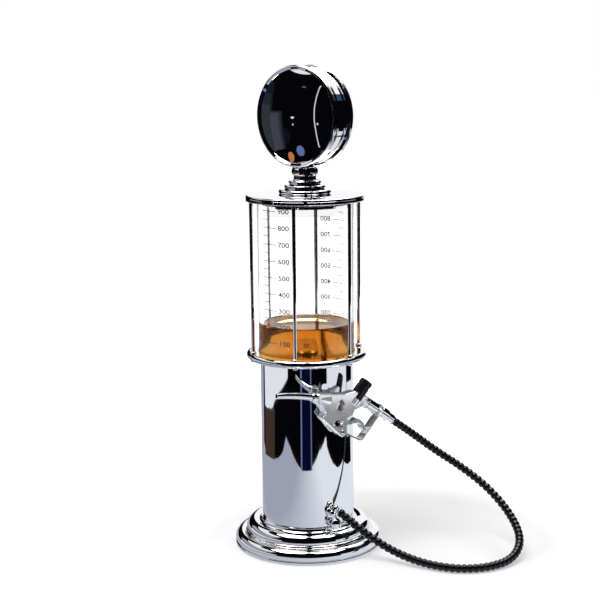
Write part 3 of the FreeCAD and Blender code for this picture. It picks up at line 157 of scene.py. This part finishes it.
# ---------------------------------------------------------------- finishes
# slot: linear colour, size of the noise, roughness from and to, relief, other sockets
FINISHES = {
    "chrome": ((0.90, 0.905, 0.92), 60, (0.015, 0.05), 0.01, {"Metallic": 1.0}),
    "cast_chrome": ((0.98, 0.98, 1.0), 90, (0.07, 0.13), 0.015, {"Metallic": 0.8}),
    "steel": ((0.62, 0.62, 0.64), 400, (0.25, 0.4), 0.1, {"Metallic": 1.0}),
    "mirror": ((0.86, 0.86, 0.90), 25, (0.0, 0.015), 0.0, {"Metallic": 1.0}),
    "black_gloss": ((0.004, 0.004, 0.006), 150, (0.05, 0.12), 0.02, {}),
    "foot_rubber": ((0.03, 0.03, 0.03), 900, (0.6, 0.8), 0.3, {}),
    "seal_rubber": ((0.05, 0.05, 0.05), 900, (0.5, 0.7), 0.2, {}),
    "hose_rubber": ((0.002, 0.002, 0.003), 500, (0.08, 0.16), 0.05, {"Specular IOR Level": 0.3}),
    "soft_tube": ((0.75, 0.78, 0.78), 300, (0.3, 0.5), 0.05, {}),
    "clear_acrylic": ((0.985, 0.99, 0.99), 20, (0.0, 0.01), 0.0, {"Transmission Weight": 1.0, "IOR": 1.28}),
    "print": ((0.03, 0.03, 0.035), 500, (0.5, 0.7), 0.0, {})}
RELIEF_DEPTH = 0.0005
NOISE_DETAIL = 3.0
NOISE_RANGE = (0.3, 0.7)      # nearly all of the noise is between these
LOOKS = {"handle_sleeve": "chrome"}   # nodes that are dressed in another finish than their slot's

DRINK_SURFACE = (1.0, 0.97, 0.80)
DRINK_SOCKETS = {"Roughness": 0.08, "Transmission Weight": 1.0, "IOR": 1.2}
DRINK_DEPTH = (1.0, 0.66, 0.0)
DRINK_DENSITY = 38.0
DRINK_CLOUD = (1.0, 0.50, 0.03)
DRINK_CLOUD_SHARE = 0.1

# ---------------------------------------------------------------- hose, in mm
HOSE_R = 4.35
HOSE_ROUTE = [
    (30.85, -48.49, 47.40), (45.64, -53.49, 34.91), (78.0, -61.0, 12.6), (109.1, -82.0, 5.4),
    (141.7, -98.0, 4.5), (175.0, -95.1, 4.5), (202.7, -75.0, 5.4), (215.7, -45.0, 15.0),
    (209.1, -13.0, 30.6), (188.9, 8.0, 52.1), (161.3, 13.0, 73.7), (131.7, 6.0, 94.9),
    (104.82, -6.45, 118.23), (85.79, -17.44, 133.91)]
ROUTE_ORDER = 3
ROUTE_RESOLUTION = 24
RIB_PITCH = 5.8
RIB_DEPTH = 1.4
RIB_FULLNESS = 0.75           # under 1 makes broad ribs with narrow grooves
HOSE_STEP = 0.5               # spacing of the rings of its mesh
HOSE_SIDES = 20

# ---------------------------------------------------------------- canister, drink and scale, in mm
CANISTER_R = 48.5
CANISTER_BORE_R = 44.0
CANISTER_FLOOR_Z = 201.5
DRINK_Z = 232.3
DRINK_INTO_WALL = 0.03        # keeps the drink in touch with the canister all over
TURNED_STEPS = 128
LEVEL_PER_100 = 16.44         # height of 100 ml
FIRST_HALF_HUNDRED = 2        # the scale starts at 100 ml
LAST_HALF_HUNDRED = 19        # and its last mark is below this one
PRINT_PROUD = 0.06
NUMBER_AZ = -27.0
NUMBER_SIZE = 7.0
NUMBER_WIDEN = 1.2
NUMBER_BOLD = 0.012           # of the number's size
NUMBER_RESOLUTION = 3
TICK_AZ = -48.5
TICK_LONG = 19.0
TICK_SHORT = 9.5
TICK_H = 0.6


def srgb(red, green, blue):
    """Linear colour of an 8-bit one."""
    def linear(value):
        value /= 255.0
        return value / 12.92 if value <= 0.04045 else ((value + 0.055) / 1.055) ** 2.4
    return linear(red), linear(green), linear(blue)


def radial(azimuth, radius, z=0.0):
    """Point at an azimuth from the front, positive to the right."""
    angle = math.radians(azimuth)
    return Vector((radius * math.sin(angle), -radius * math.cos(angle), z))


def link(obj):
    scene.collection.objects.link(obj)
    return obj


def mesh_object(name, points, faces, smooth=True):
    mesh = bpy.data.meshes.new(name)
    mesh.from_pydata([tuple(p) for p in points], [], faces)
    mesh.validate()
    mesh.polygons.foreach_set("use_smooth", [smooth] * len(mesh.polygons))
    mesh.update()
    return link(bpy.data.objects.new(name, mesh))


def mesh_of(name, data):
    """Mesh that a curve or a text makes; the curve or text itself isn't kept in the scene."""
    obj = link(bpy.data.objects.new(name, data))
    mesh = bpy.data.meshes.new_from_object(obj)
    bpy.data.objects.remove(obj)
    return mesh


# ---------------------------------------------------------------- shader nodes
def feed(tree, socket, value):
    """Gives a socket a number, or the output of another node."""
    if isinstance(value, float):
        socket.default_value = value
    else:
        tree.links.new(value, socket)


def maths(tree, kind, first, second):
    """Output of a node that works on two numbers or outputs."""
    node = tree.nodes.new("ShaderNodeMath")
    node.operation = kind
    feed(tree, node.inputs[0], first)
    feed(tree, node.inputs[1], second)
    return node.outputs[0]


def spread(tree, value, start, end, low, high):
    """Output that goes from low to high while the value goes from start to end."""
    node = tree.nodes.new("ShaderNodeMapRange")
    for socket, number in (("From Min", start), ("From Max", end), ("To Min", low), ("To Max", high)):
        node.inputs[socket].default_value = number
    tree.links.new(value, node.inputs["Value"])
    return node.outputs["Result"]


def place(tree, kind):
    """Output of the place that is shaded, in one kind of coordinates."""
    return tree.nodes.new("ShaderNodeTexCoord").outputs[kind]


def part_of(tree, vector, letter):
    """X, Y or Z of a vector output."""
    split = tree.nodes.new("ShaderNodeSeparateXYZ")
    tree.links.new(vector, split.inputs["Vector"])
    return split.outputs[letter]


def mixed_surface(tree, share, first, second):
    """Makes the surface of a material from two shaders, with this share of the second."""
    mix = tree.nodes.new("ShaderNodeMixShader")
    feed(tree, mix.inputs["Fac"], share)
    tree.links.new(first, mix.inputs[1])
    tree.links.new(second, mix.inputs[2])
    tree.links.new(mix.outputs["Shader"], tree.nodes["Material Output"].inputs["Surface"])


def sent_to_front(tree, kind, limit):
    """1 for what a polished piece sends back to the front through a clear one, else 0: where a dark reflection is
    painted.
    """
    path = tree.nodes.new("ShaderNodeLightPath")
    front = maths(tree, "LESS_THAN", part_of(tree, place(tree, kind), "Y"), limit)
    bounced = maths(tree, "GREATER_THAN", path.outputs["Glossy Depth"], 0.5)
    both = maths(tree, "MULTIPLY", front, bounced)
    return maths(tree, "MULTIPLY", both, path.outputs["Is Transmission Ray"])


def principled(name, colour, sockets):
    mat = bpy.data.materials.new(name)
    mat.use_nodes = True
    bsdf = mat.node_tree.nodes["Principled BSDF"]
    bsdf.inputs["Base Color"].default_value = (*colour, 1)
    for socket, value in sockets.items():
        bsdf.inputs[socket].default_value = value
    return mat


def glow(name, colour, strength):
    """Material that only glows."""
    mat = bpy.data.materials.new(name)
    mat.use_nodes = True
    tree = mat.node_tree
    tree.nodes.remove(tree.nodes["Principled BSDF"])
    emit = tree.nodes.new("ShaderNodeEmission")
    emit.inputs["Color"].default_value = (*colour, 1)
    emit.inputs["Strength"].default_value = strength
    tree.links.new(emit.outputs[0], tree.nodes["Material Output"].inputs["Surface"])
    return mat


# ---------------------------------------------------------------- camera and light
def camera():
    data = bpy.data.cameras.new("camera")
    data.lens = CAMERA_LENS_MM
    data.sensor_width = CAMERA_SENSOR_MM
    obj = link(bpy.data.objects.new("camera", data))
    look = Euler((math.radians(CAMERA_TILT_DEG), 0, 0)).to_matrix()
    look = look @ Matrix.Rotation(math.radians(CAMERA_ROLL_DEG), 3, "Z")
    obj.matrix_world = Matrix.Translation(CAMERA_AT) @ look.to_4x4()
    scene.camera = obj


def lamp(name, at, aim, size, power):
    """Round lamp that lights but isn't seen, in gloss either."""
    data = bpy.data.lights.new(name, "AREA")
    data.shape = "DISK"
    data.size = size
    data.energy = power
    obj = link(bpy.data.objects.new(name, data))
    obj.location = at
    obj.rotation_euler = (Vector(aim) - Vector(at)).to_track_quat("-Z", "Y").to_euler()
    obj.visible_camera = False
    obj.visible_glossy = False


def world():
    """White where it is seen and weaker as a light; its front is dark to what comes back through clear pieces, a
    painted dark reflection.
    """
    sky = bpy.data.worlds.new("studio")
    scene.world = sky
    sky.use_nodes = True
    tree = sky.node_tree
    back = tree.nodes["Background"]
    back.inputs["Color"].default_value = (1, 1, 1, 1)
    path = tree.nodes.new("ShaderNodeLightPath")
    seen = maths(tree, "MAXIMUM", path.outputs["Is Camera Ray"], path.outputs["Is Glossy Ray"])
    seen = maths(tree, "MAXIMUM", seen, path.outputs["Is Transmission Ray"])
    strength = spread(tree, seen, 0.0, 1.0, SKY_AS_LIGHT, 1.0)
    kept = maths(tree, "SUBTRACT", 1.0, sent_to_front(tree, "Generated", SKY_FRONT_Y))
    tree.links.new(maths(tree, "MULTIPLY", strength, kept), back.inputs["Strength"])


def floor():
    """White ground that takes real soft shadows near the dispenser and none far from it; it also glows less near
    the dispenser, a painted shade there.
    """
    far = FLOOR_HALF
    corners = [(-far, -far, 0), (far, -far, 0), (far, far, 0), (-far, far, 0)]
    obj = mesh_object("floor", corners, [(0, 1, 2, 3)], smooth=False)
    mat = principled("floor", FLOOR_COLOUR, {
        "Roughness": 0.9, "Specular IOR Level": 0.0, "Emission Color": (1, 1, 1, 1)})
    tree = mat.node_tree
    bsdf = tree.nodes["Principled BSDF"]
    away = tree.nodes.new("ShaderNodeVectorMath")
    away.operation = "DISTANCE"
    away.inputs[1].default_value = SHADOW_AT
    tree.links.new(place(tree, "Object"), away.inputs[0])
    # Glow goes from SHADOW_GLOW near the dispenser up to plain white far off: painted shade round the dispenser.
    bright = spread(tree, away.outputs["Value"], SHADOW_R, LIT_R, SHADOW_GLOW, 1.0)
    tree.links.new(bright, bsdf.inputs["Emission Strength"])
    # In what a polished piece sends back through a clear one, the front of the ground glows almost nothing: a
    # painted dark reflection.
    dark = tree.nodes.new("ShaderNodeEmission")
    dark.inputs["Strength"].default_value = DARK_REFLECTION_GLOW
    to_front = sent_to_front(tree, "Object", FLOOR_FRONT_Y)
    mixed_surface(tree, to_front, bsdf.outputs["BSDF"], dark.outputs["Emission"])
    obj.data.materials.append(mat)
    obj.visible_glossy = False


# ---------------------------------------------------------------- the room that the chrome shows
def card(name, points, faces, colour, strength=1.0):
    """Part of the studio that only polished surfaces see."""
    obj = mesh_object(name, points, faces, smooth=False)
    obj.data.materials.append(glow(name, srgb(*colour), strength))
    obj.visible_camera = False
    obj.visible_diffuse = False
    obj.visible_transmission = False
    obj.visible_shadow = False
    return obj


def sheet(name, near, far, colour):
    """Card between two edges, each a list of (azimuth, radius, height)."""
    points = [radial(*p) for pair in zip(near, far) for p in pair]
    faces = [(2 * i, 2 * i + 1, 2 * i + 3, 2 * i + 2) for i in range(len(near) - 1)]
    card(name, points, faces, colour)


def band(name, low, high, az0, az1, colour):
    """Card swept round the axis between two (radius, height) edges."""
    steps = max(2, math.ceil(abs(az1 - az0) / BAND_STEP_DEG))
    turns = [az0 + (az1 - az0) * i / steps for i in range(steps + 1)]
    sheet(name, [(turn, *low) for turn in turns], [(turn, *high) for turn in turns], colour)


def rectangle(name, x0, x1, y0, y1, z, colour, strength=1.0):
    corners = [(x0, y0, z), (x1, y0, z), (x1, y1, z), (x0, y1, z)]
    return card(name, corners, [(0, 1, 2, 3)], colour, strength)


def disc(name, azimuth, radius, z, size, colour):
    """Upright round card that faces the axis."""
    middle = radial(azimuth, radius, z)
    across = radial(azimuth + 90, size)
    points = []
    for k in range(DISC_SIDES):
        angle = 2 * math.pi * k / DISC_SIDES
        points.append(middle + across * math.cos(angle) + Vector((0, 0, size * math.sin(angle))))
    card(name, points, [tuple(range(DISC_SIDES))], colour)


def bands(rows):
    for row in rows:
        band(*row)


def far_things():
    """What stands far off on the left, seen only in the domed mirror; door and wall end softly, in layers."""
    for i, shade in enumerate((30, 44, 56, 66)):
        at = FAR_R - LAYER * i
        colour = (shade, shade + 2, shade + 11)
        band("grey_door_" + str(i), (at, 0.05), (at, 0.45 - 0.01 * i), -98, -87.5 - 1.2 * i, colour)
    for i, shade in enumerate((24, 38, 52)):
        at = FAR_R - LAYER * i
        colour = (shade - 2, shade + 3, shade + 9)
        band("grey_wall_" + str(i), (at, 0.07), (at, 0.72 - 0.11 * i), -108, -96 - 1.2 * i, colour)
    for row in DISCS:
        disc(*row)
    edges = []
    for side in (-DOOR_EDGE_HALF_DEG, DOOR_EDGE_HALF_DEG):
        edges.append([(az + side, FAR_R, z) for az, z in DOOR_EDGE])
    sheet("door_edge", *edges, (215, 215, 220))
    band("faint_lamp", (FAR_R, 0.725), (FAR_R, 0.745), -73.5, -70.5, (92, 88, 90))


def table_top():
    """Card under everything, whose colour changes across the table."""
    top = rectangle("table_top", *TABLE_AREA, TABLE_Z, TABLE_LEFT)
    tree = top.active_material.node_tree
    across = part_of(tree, place(tree, "Object"), "X")
    mix = tree.nodes.new("ShaderNodeMix")
    mix.data_type = "RGBA"
    mix.inputs["A"].default_value = (*srgb(*TABLE_LEFT), 1)
    mix.inputs["B"].default_value = (*srgb(*TABLE_RIGHT), 1)
    share = spread(tree, across, -TABLE_FADE_HALF, TABLE_FADE_HALF, 0.0, 1.0)
    tree.links.new(share, mix.inputs["Factor"])
    tree.links.new(mix.outputs["Result"], tree.nodes["Emission"].inputs["Color"])


def studio():
    """Dark room round the front and the sides of the table, with white panels and a bright ceiling."""
    bands(WALLS)
    near = [(az, r, FLOOR_Z) for az, r in FLOOR_EDGE]
    sheet("room_floor", near, [(az, WALL_R, FLOOR_Z) for az, r in FLOOR_EDGE], DARK_FLOOR)
    bands(FLOOR_MARKS)
    foot = [(az, PANEL_FOOT_R, z) for az, z in PANEL_FOOT]
    sheet("left_panel", foot, [(az, PANEL_TOP_R, PANEL_TOP_Z) for az, z in PANEL_FOOT], (232, 233, 240))
    bands(UPRIGHTS)
    rectangle("ceiling", *CEILING_AREA, CEILING_Z + 0.01, (255, 255, 255), CEILING_STRENGTH)
    bands(CEILING_JOINTS)
    far_things()
    table_top()


# ---------------------------------------------------------------- finishes of the dispenser
def finish_of(name):
    """Finish whose polish is uneven, with a fine relief, from noise in the object's own frame."""
    colour, scale, rough, relief, sockets = FINISHES[name]
    mat = principled(name, colour, sockets)
    tree = mat.node_tree
    bsdf = tree.nodes["Principled BSDF"]
    noise = tree.nodes.new("ShaderNodeTexNoise")
    noise.inputs["Scale"].default_value = scale
    noise.inputs["Detail"].default_value = NOISE_DETAIL
    tree.links.new(place(tree, "Object"), noise.inputs["Vector"])
    uneven = spread(tree, noise.outputs["Fac"], *NOISE_RANGE, *rough)
    tree.links.new(uneven, bsdf.inputs["Roughness"])
    if relief:
        bump = tree.nodes.new("ShaderNodeBump")
        bump.inputs["Strength"].default_value = relief
        bump.inputs["Distance"].default_value = RELIEF_DEPTH
        tree.links.new(noise.outputs["Fac"], bump.inputs["Height"])
        tree.links.new(bump.outputs["Normal"], bsdf.inputs["Normal"])
    return mat


def drink_finish():
    """Clear amber that darkens with depth, with a slight cloud in it."""
    mat = principled("drink", DRINK_SURFACE, DRINK_SOCKETS)
    tree = mat.node_tree
    depth = tree.nodes.new("ShaderNodeVolumeAbsorption")
    depth.inputs["Color"].default_value = (*DRINK_DEPTH, 1)
    depth.inputs["Density"].default_value = DRINK_DENSITY
    tree.links.new(depth.outputs["Volume"], tree.nodes["Material Output"].inputs["Volume"])
    cloud = tree.nodes.new("ShaderNodeBsdfTranslucent")
    cloud.inputs["Color"].default_value = (*DRINK_CLOUD, 1)
    clear = tree.nodes["Principled BSDF"].outputs["BSDF"]
    mixed_surface(tree, DRINK_CLOUD_SHARE, clear, cloud.outputs["BSDF"])
    return mat


def dress(finishes):
    for part in frame["record"]["subparts"]:
        obj = nodes[part["node"]]
        obj.data.materials.clear()
        obj.data.materials.append(finishes[LOOKS.get(part["node"], part["material_slot"])])


# ---------------------------------------------------------------- hose
def route_line(route):
    """Points along the NURBS line of a route."""
    curve = bpy.data.curves.new("hose_line", "CURVE")
    curve.dimensions = "3D"
    curve.resolution_u = ROUTE_RESOLUTION
    spline = curve.splines.new("NURBS")
    spline.points.add(len(route) - 1)
    for point, at in zip(spline.points, route):
        point.co = (at[0] * MM, at[1] * MM, at[2] * MM, 1)
    spline.order_u = ROUTE_ORDER
    spline.use_endpoint_u = True
    mesh = mesh_of("hose_line", curve)
    line = [v.co.copy() for v in mesh.vertices]
    bpy.data.meshes.remove(mesh)
    return line


def even(line, step):
    """The same line in equal steps."""
    spans = [(b - a).length for a, b in zip(line, line[1:])]
    total = sum(spans)
    count = round(total / step)
    points = [line[0]]
    i = 0
    start = 0.0
    for k in range(1, count):
        want = total * k / count
        while start + spans[i] < want:
            start += spans[i]
            i += 1
        points.append(line[i].lerp(line[i + 1], (want - start) / spans[i]))
    return points + [line[-1]]


def hose(finish):
    """Ribbed hose, as rings along its route, joined and closed at both ends."""
    line = even(route_line(HOSE_ROUTE), HOSE_STEP * MM)
    points = []
    side = None
    for i, at in enumerate(line):
        ahead = (line[min(i + 1, len(line) - 1)] - line[max(i - 1, 0)]).normalized()
        if side is None:
            side = ahead.orthogonal().normalized()
        side = (side - ahead * side.dot(ahead)).normalized()
        other = ahead.cross(side)
        wave = abs(math.sin(math.pi * i * HOSE_STEP / RIB_PITCH)) ** RIB_FULLNESS
        radius = (HOSE_R - RIB_DEPTH * (1 - wave)) * MM
        for k in range(HOSE_SIDES):
            angle = 2 * math.pi * k / HOSE_SIDES
            points.append(at + (side * math.cos(angle) + other * math.sin(angle)) * radius)
    faces = []
    for i in range(len(line) - 1):
        for k in range(HOSE_SIDES):
            a = i * HOSE_SIDES + k
            b = i * HOSE_SIDES + (k + 1) % HOSE_SIDES
            faces.append((a, b, b + HOSE_SIDES, a + HOSE_SIDES))
    faces.append(tuple(reversed(range(HOSE_SIDES))))
    faces.append(tuple(range(len(points) - HOSE_SIDES, len(points))))
    obj = mesh_object("hose_ribbed", points, faces)
    obj.data.materials.append(finish)
    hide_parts("hose")
    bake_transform(obj)


# ---------------------------------------------------------------- valve
def spring(finish):
    """The valve's spring, a copy of the part in its place, in the given finish."""
    mesh = nodes["valve_spring"].data.copy()
    at = nodes["valve_spring"].matrix_world
    obj = link(bpy.data.objects.new("valve_spring_soft", mesh))
    obj.matrix_world = at
    mesh.materials.clear()
    mesh.materials.append(finish)
    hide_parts("valve_spring")
    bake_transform(obj)


# ---------------------------------------------------------------- drink and scale
def turned(name, outline):
    """Closed surface of revolution of (radius, height) points in mm; the ends lie on the axis."""
    steps = TURNED_STEPS
    rings = outline[1:-1]
    points = [Vector((0, 0, outline[0][1] * MM))]
    for radius, z in rings:
        points += [radial(360.0 * k / steps, radius * MM, z * MM) for k in range(steps)]
    points.append(Vector((0, 0, outline[-1][1] * MM)))
    last = len(points) - 1
    faces = [(0, 1 + (k + 1) % steps, 1 + k) for k in range(steps)]
    for i in range(len(rings) - 1):
        for k in range(steps):
            a = 1 + i * steps + k
            b = 1 + i * steps + (k + 1) % steps
            faces.append((a, b, b + steps, a + steps))
    base = 1 + (len(rings) - 1) * steps
    faces += [(base + k, base + (k + 1) % steps, last) for k in range(steps)]
    return mesh_object(name, points, faces)


def drink(finish):
    """The liquid, a hair wider than the bore, with its edge drawn up the wall."""
    wide = CANISTER_BORE_R + DRINK_INTO_WALL
    low = CANISTER_FLOOR_Z - DRINK_INTO_WALL
    outline = [(0, low), (wide - 2.0, low), (wide - 1.0, low + 0.27), (wide - 0.27, low + 1.0),
               (wide, low + 2.0), (wide, DRINK_Z + 1.1), (wide - 0.3, DRINK_Z + 0.55),
               (wide - 0.9, DRINK_Z + 0.18), (wide - 2.0, DRINK_Z), (0, DRINK_Z)]
    obj = turned("drink_level", outline)
    obj.data.materials.append(finish)
    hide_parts("drink")
    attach(obj, "root")


def number_shape(text):
    """Points and faces of a number, centred, in mm."""
    font = bpy.data.curves.new("number", "FONT")
    font.body = text
    font.size = NUMBER_SIZE
    font.offset = NUMBER_BOLD * NUMBER_SIZE
    font.align_x = "CENTER"
    font.align_y = "CENTER"
    font.resolution_u = NUMBER_RESOLUTION
    mesh = mesh_of("number", font)
    points = [Vector((v.co.x * NUMBER_WIDEN, v.co.y, 0)) for v in mesh.vertices]
    faces = [tuple(p.vertices) for p in mesh.polygons]
    bpy.data.meshes.remove(mesh)
    return points, faces


def tick_shape(width):
    """Points and faces of a short horizontal line, in mm, cut across so that it can bend."""
    pieces = math.ceil(width)
    points = []
    for i in range(pieces + 1):
        x = -width / 2 + width * i / pieces
        points += [Vector((x, -TICK_H / 2, 0)), Vector((x, TICK_H / 2, 0))]
    faces = [(2 * i, 2 * i + 2, 2 * i + 3, 2 * i + 1) for i in range(pieces)]
    return points, faces


def scale_print(name, turn, finish):
    """Scale of volumes on the canister's outer face, turned about the axis."""
    points = []
    faces = []
    radius = CANISTER_R + PRINT_PROUD

    def add(shape, azimuth, z):
        first = len(points)
        for p in shape[0]:
            points.append(radial(turn + azimuth + math.degrees(p.x / radius), radius * MM, (z + p.y) * MM))
        faces.extend(tuple(first + i for i in face) for face in shape[1])

    for half in range(FIRST_HALF_HUNDRED, LAST_HALF_HUNDRED):
        z = CANISTER_FLOOR_Z + LEVEL_PER_100 * half / 2
        whole = half % 2 == 0
        width = TICK_LONG if whole else TICK_SHORT
        shift = math.degrees((TICK_LONG - width) / 2 / radius)
        add(tick_shape(width), TICK_AZ - shift, z)
        if whole:
            add(number_shape(str(50 * half)), NUMBER_AZ, z)
    obj = mesh_object(name, points, faces)
    obj.data.materials.append(finish)
    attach(obj, "root")


# ---------------------------------------------------------------- making
def make():
    camera()
    finishes = {name: finish_of(name) for name in FINISHES}
    finishes["drink"] = drink_finish()
    hose(finishes["hose_rubber"])
    world()
    for row in LAMPS:
        lamp(*row)
    floor()
    studio()
    dress(finishes)
    spring(finishes["steel"])
    drink(finishes["drink"])
    scale_print("scale_front", 0, finishes["print"])
    scale_print("scale_back", 180, finishes["print"])


make()
